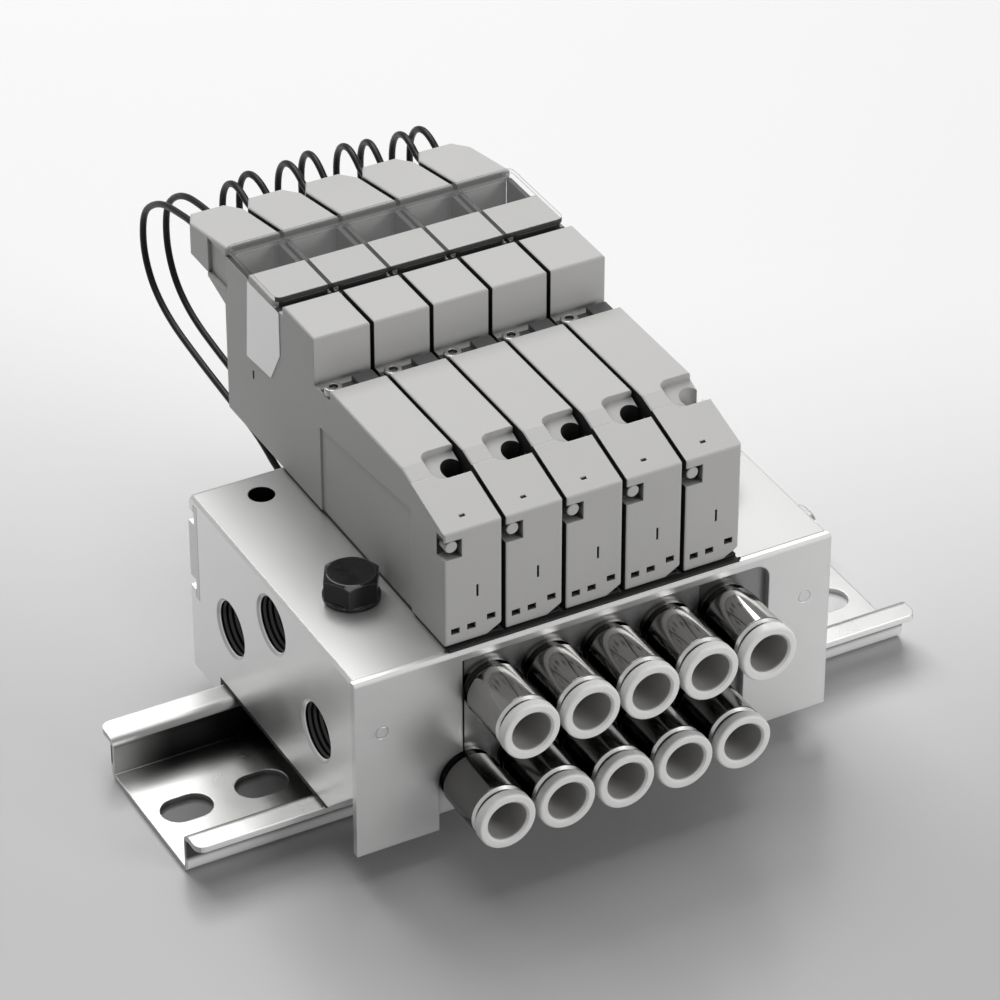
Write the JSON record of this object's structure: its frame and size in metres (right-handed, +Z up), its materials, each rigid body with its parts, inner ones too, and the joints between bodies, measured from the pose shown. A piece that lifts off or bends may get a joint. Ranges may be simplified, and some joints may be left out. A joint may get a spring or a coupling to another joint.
{
  "type": "pneumatic valve island",
  "caption": "Pneumatic valve island with slim valves on a manifold base, push-in tube fittings and looped leads, clamped to a slotted top-hat rail.",
  "frame": {"origin": "underside of the rail, on its centre line, under the middle of the manifold base", "axes": "+X along the rail, -Y towards the tube fittings, +Z up from the rail"},
  "size_m": [0.125, 0.1243, 0.0675],
  "materials": {
    "base": "satin",
    "plate": "satin",
    "steel": "bright zinc",
    "rail": "bright zinc",
    "bolt": "gloss black",
    "nickel": "bright nickel",
    "gasket": "matt",
    "cover": "clear, glossy",
    "coil": "enamelled winding",
    "plug": "satin",
    "strip": "satin",
    "body": "satin",
    "cap": "satin",
    "housing": "satin",
    "spool": "ground",
    "button": "satin",
    "ring": "warm white, satin",
    "lead": "black sheath"
  },
  "bodies": {
    "base": {"manifold_base": "base", "port_plate": "plate", "plate_pins": "steel", "valve_screws": "steel", "rail_clamp_left": "steel", "rail_clamp_right": "steel", "din_rail": "rail", "clamp_bolts": "bolt", "upper_fittings": "nickel", "lower_fittings": "nickel", "valve_gaskets": "gasket", "lamp_cover": "cover", "pilot_coils": "coil", "connector_plugs": "plug", "lead_strip": "strip", "valve_body_1": "body", "front_cap_1": "cap", "pilot_housing_1": "housing", "lead_1a": "lead", "lead_1b": "lead", "valve_body_2": "body", "front_cap_2": "cap", "pilot_housing_2": "housing", "lead_2a": "lead", "lead_2b": "lead", "valve_body_3": "body", "front_cap_3": "cap", "pilot_housing_3": "housing", "lead_3a": "lead", "lead_3b": "lead", "valve_body_4": "body", "front_cap_4": "cap", "pilot_housing_4": "housing", "lead_4a": "lead", "lead_4b": "lead", "valve_body_5": "body", "front_cap_5": "cap", "pilot_housing_5": "housing", "lead_5a": "lead", "lead_5b": "lead"},
    "release_ring_upper_1": {"release_ring_upper_1": "ring"},
    "release_ring_lower_1": {"release_ring_lower_1": "ring"},
    "release_ring_upper_2": {"release_ring_upper_2": "ring"},
    "release_ring_lower_2": {"release_ring_lower_2": "ring"},
    "release_ring_upper_3": {"release_ring_upper_3": "ring"},
    "release_ring_lower_3": {"release_ring_lower_3": "ring"},
    "release_ring_upper_4": {"release_ring_upper_4": "ring"},
    "release_ring_lower_4": {"release_ring_lower_4": "ring"},
    "release_ring_upper_5": {"release_ring_upper_5": "ring"},
    "release_ring_lower_5": {"release_ring_lower_5": "ring"},
    "override_button_1": {"override_button_1": "button"},
    "override_button_2": {"override_button_2": "button"},
    "override_button_3": {"override_button_3": "button"},
    "override_button_4": {"override_button_4": "button"},
    "override_button_5": {"override_button_5": "button"},
    "spool_1": {"spool_1": "spool"},
    "spool_2": {"spool_2": "spool"},
    "spool_3": {"spool_3": "spool"},
    "spool_4": {"spool_4": "spool"},
    "spool_5": {"spool_5": "spool"}
  },
  "joints": [
    {"name": "release_ring_upper_1_slide", "type": "slide", "parent": "base", "child": "release_ring_upper_1", "axis": [0, 1, 0], "range_m": [0, 0.0008], "stiffness_N_per_m": 3000},
    {"name": "release_ring_lower_1_slide", "type": "slide", "parent": "base", "child": "release_ring_lower_1", "axis": [0, 1, 0], "range_m": [0, 0.0008], "stiffness_N_per_m": 3000},
    {"name": "release_ring_upper_2_slide", "type": "slide", "parent": "base", "child": "release_ring_upper_2", "axis": [0, 1, 0], "range_m": [0, 0.0008], "stiffness_N_per_m": 3000},
    {"name": "release_ring_lower_2_slide", "type": "slide", "parent": "base", "child": "release_ring_lower_2", "axis": [0, 1, 0], "range_m": [0, 0.0008], "stiffness_N_per_m": 3000},
    {"name": "release_ring_upper_3_slide", "type": "slide", "parent": "base", "child": "release_ring_upper_3", "axis": [0, 1, 0], "range_m": [0, 0.0008], "stiffness_N_per_m": 3000},
    {"name": "release_ring_lower_3_slide", "type": "slide", "parent": "base", "child": "release_ring_lower_3", "axis": [0, 1, 0], "range_m": [0, 0.0008], "stiffness_N_per_m": 3000},
    {"name": "release_ring_upper_4_slide", "type": "slide", "parent": "base", "child": "release_ring_upper_4", "axis": [0, 1, 0], "range_m": [0, 0.0008], "stiffness_N_per_m": 3000},
    {"name": "release_ring_lower_4_slide", "type": "slide", "parent": "base", "child": "release_ring_lower_4", "axis": [0, 1, 0], "range_m": [0, 0.0008], "stiffness_N_per_m": 3000},
    {"name": "release_ring_upper_5_slide", "type": "slide", "parent": "base", "child": "release_ring_upper_5", "axis": [0, 1, 0], "range_m": [0, 0.0008], "stiffness_N_per_m": 3000},
    {"name": "release_ring_lower_5_slide", "type": "slide", "parent": "base", "child": "release_ring_lower_5", "axis": [0, 1, 0], "range_m": [0, 0.0008], "stiffness_N_per_m": 3000},
    {"name": "override_button_1_slide", "type": "slide", "parent": "base", "child": "override_button_1", "axis": [0, 1, 0], "range_m": [0, 0.001], "stiffness_N_per_m": 2000},
    {"name": "override_button_2_slide", "type": "slide", "parent": "base", "child": "override_button_2", "axis": [0, 1, 0], "range_m": [0, 0.001], "stiffness_N_per_m": 2000},
    {"name": "override_button_3_slide", "type": "slide", "parent": "base", "child": "override_button_3", "axis": [0, 1, 0], "range_m": [0, 0.001], "stiffness_N_per_m": 2000},
    {"name": "override_button_4_slide", "type": "slide", "parent": "base", "child": "override_button_4", "axis": [0, 1, 0], "range_m": [0, 0.001], "stiffness_N_per_m": 2000},
    {"name": "override_button_5_slide", "type": "slide", "parent": "base", "child": "override_button_5", "axis": [0, 1, 0], "range_m": [0, 0.001], "stiffness_N_per_m": 2000},
    {"name": "spool_1_slide", "type": "slide", "parent": "base", "child": "spool_1", "axis": [0, -1, 0], "range_m": [0, 0.0015], "stiffness_N_per_m": 1000},
    {"name": "spool_2_slide", "type": "slide", "parent": "base", "child": "spool_2", "axis": [0, -1, 0], "range_m": [0, 0.0015], "stiffness_N_per_m": 1000},
    {"name": "spool_3_slide", "type": "slide", "parent": "base", "child": "spool_3", "axis": [0, -1, 0], "range_m": [0, 0.0015], "stiffness_N_per_m": 1000},
    {"name": "spool_4_slide", "type": "slide", "parent": "base", "child": "spool_4", "axis": [0, -1, 0], "range_m": [0, 0.0015], "stiffness_N_per_m": 1000},
    {"name": "spool_5_slide", "type": "slide", "parent": "base", "child": "spool_5", "axis": [0, -1, 0], "range_m": [0, 0.0015], "stiffness_N_per_m": 1000}
  ]
}
